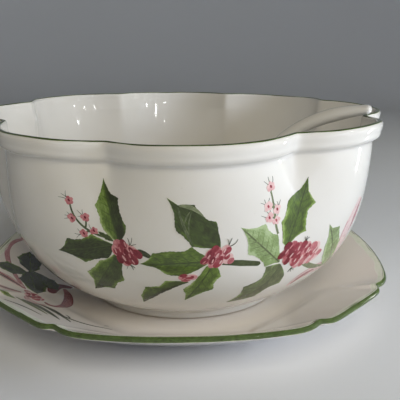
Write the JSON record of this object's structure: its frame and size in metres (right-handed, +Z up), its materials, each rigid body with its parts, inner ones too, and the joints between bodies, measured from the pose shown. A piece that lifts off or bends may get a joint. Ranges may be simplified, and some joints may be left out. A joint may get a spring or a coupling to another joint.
{
  "type": "punch bowl with underplate and ladle",
  "caption": "Lobed ceramic punch bowl standing on a notched underplate, with a ceramic ladle leaning in its rim; holly painted round it.",
  "frame": {"origin": "middle of the underplate's foot ring, on the table it stands on", "axes": "+Z up, along the bowl's lift; +Y away from the viewer towards the far long side of the underplate; +X to the right, where the ladle's handle leans in the rim"},
  "size_m": [0.379, 0.379, 0.1941],
  "materials": {
    "ivory_glaze": "glossy ivory glaze with holly painted under it and an olive green edge line",
    "underplate_glaze": "glossy ivory glaze with an olive green edge line",
    "ladle_glaze": "glossy plain ivory glaze",
    "leaf_paint": "green brushwork under a glossy glaze",
    "berry_paint": "pink and red brushwork under a glossy glaze",
    "line_paint": "olive green painted edge line under a glossy glaze"
  },
  "bodies": {
    "underplate": {"underplate": "underplate_glaze"},
    "punch_bowl": {"punch_bowl": "ivory_glaze"},
    "ladle": {"ladle": "ladle_glaze"}
  },
  "joints": [
    {"name": "bowl_lift", "type": "slide", "parent": "underplate", "child": "punch_bowl", "axis": [0, 0, 1], "range_m": [0, 0.2]},
    {"name": "ladle_lift", "type": "slide", "parent": "punch_bowl", "child": "ladle", "axis": [0, 0, 1], "range_m": [0, 0.25]}
  ]
}
